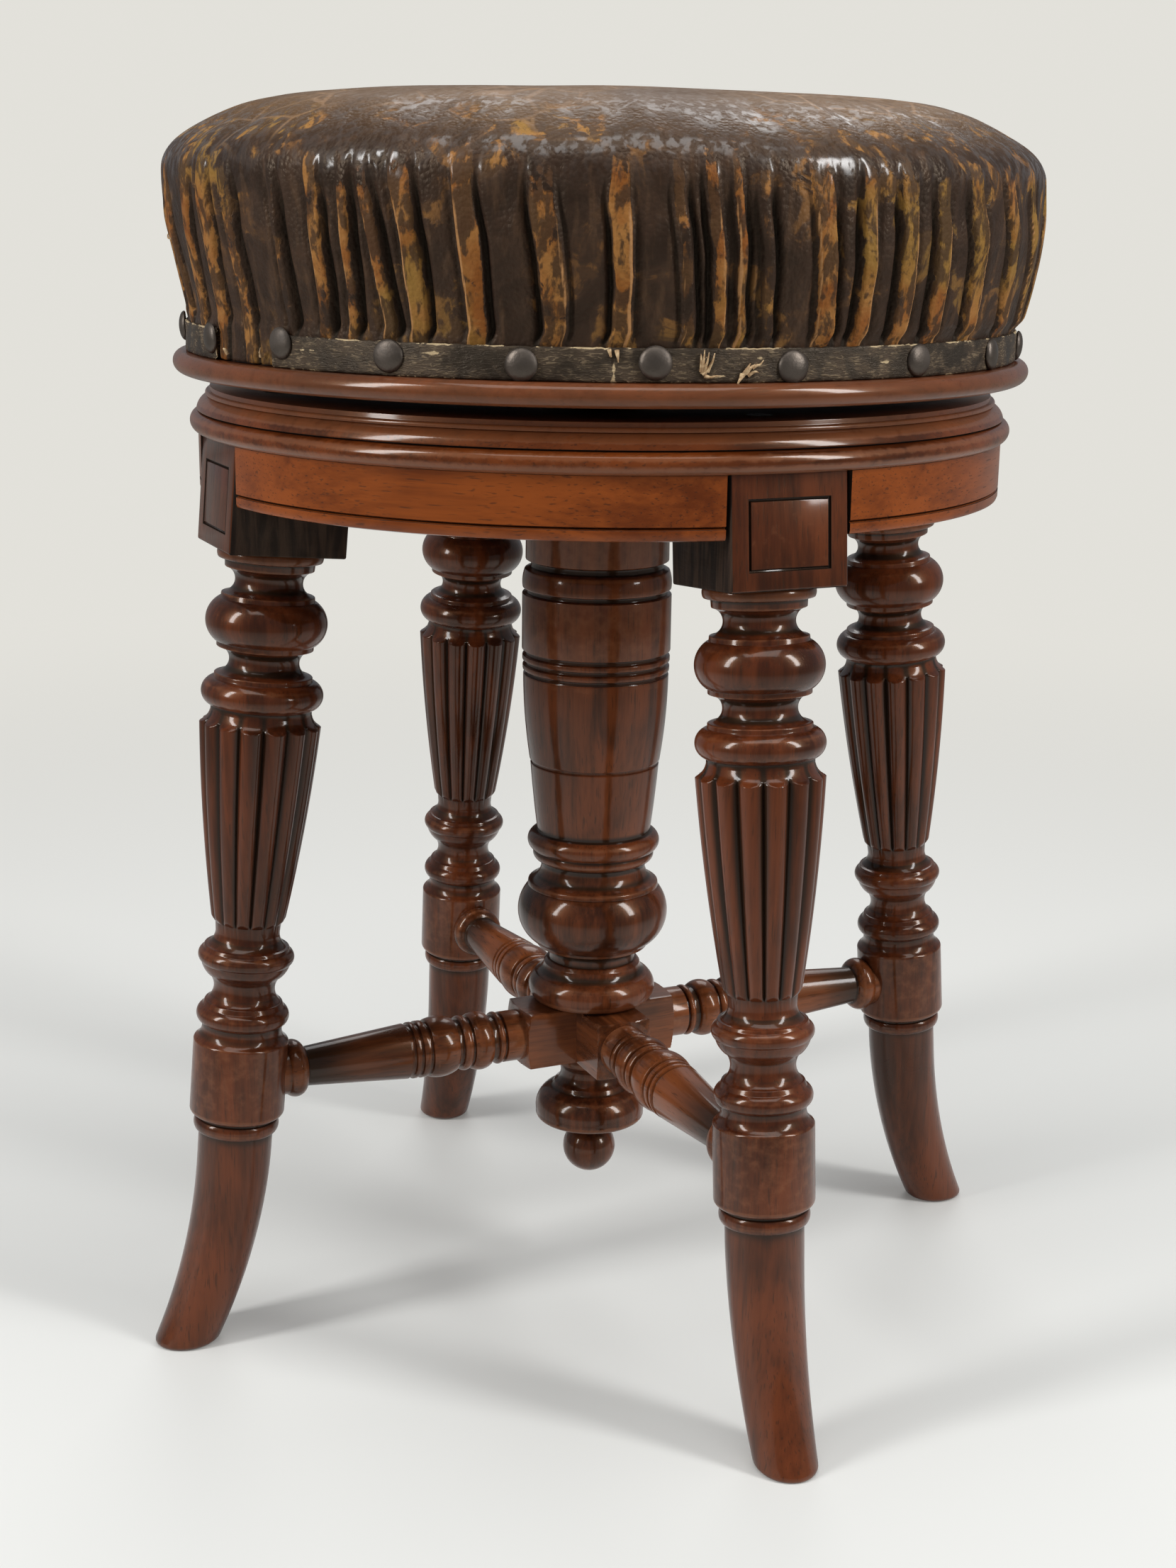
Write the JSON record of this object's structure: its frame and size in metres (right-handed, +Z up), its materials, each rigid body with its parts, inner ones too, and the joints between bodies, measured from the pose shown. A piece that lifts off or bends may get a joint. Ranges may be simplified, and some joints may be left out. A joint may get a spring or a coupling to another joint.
{
  "type": "revolving piano stool",
  "caption": "Round upholstered stool whose seat turns on a wooden-framed screw to set its height, on turned and reeded splayed legs tied by turned stretchers.",
  "frame": {"origin": "on the floor, under the axis of the column and seat screw", "axes": "+Z up; the four legs stand on +X, -X, +Y and -Y, and the leg nearest the viewer of the picture is on -Y"},
  "size_m": [0.392, 0.392, 0.507],
  "materials": {
    "polished_mahogany": "gloss",
    "turned_mahogany": "gloss",
    "raw_pine": "matte",
    "seat_leather": "satin",
    "band_leather": "satin",
    "stuffing": "matte",
    "nail_bronze": "satin",
    "black_iron": "satin",
    "screw_steel": "satin",
    "spindle_steel": "satin",
    "washer_brass": "satin"
  },
  "bodies": {
    "frame": {"top_board": "polished_mahogany", "spindle_nut": "black_iron", "nut_screws": "screw_steel", "board_screws": "screw_steel", "glue_blocks": "raw_pine", "frieze_rail_front_right": "polished_mahogany", "frieze_rail_front_left": "polished_mahogany", "frieze_rail_back_left": "polished_mahogany", "frieze_rail_back_right": "polished_mahogany", "leg_front": "turned_mahogany", "leg_left": "turned_mahogany", "leg_back": "turned_mahogany", "leg_right": "turned_mahogany", "column": "turned_mahogany", "stretcher_x": "turned_mahogany", "stretcher_y": "turned_mahogany", "finial": "turned_mahogany"},
    "lift": {"thrust_washer": "washer_brass"},
    "seat": {"seat_board": "polished_mahogany", "seat_flange": "black_iron", "flange_screws": "screw_steel", "screw_spindle": "spindle_steel", "leather_cover": "seat_leather", "seat_stuffing": "stuffing", "edge_banding": "band_leather", "banding_nails": "nail_bronze"}
  },
  "joints": [
    {"name": "seat_rise", "type": "slide", "parent": "frame", "child": "lift", "axis": [0, 0, 1], "range_m": [-0.00331, 0.10001]},
    {"name": "seat_turn", "type": "hinge", "parent": "lift", "child": "seat", "pos_m": [0, 0, 0.3961], "axis": [0, 0, 1], "range_deg": [-198, 6000]}
  ],
  "couplings": [
    {"joint": "seat_rise", "follows": "seat_turn", "m_per_rad": 0.00095493}
  ]
}
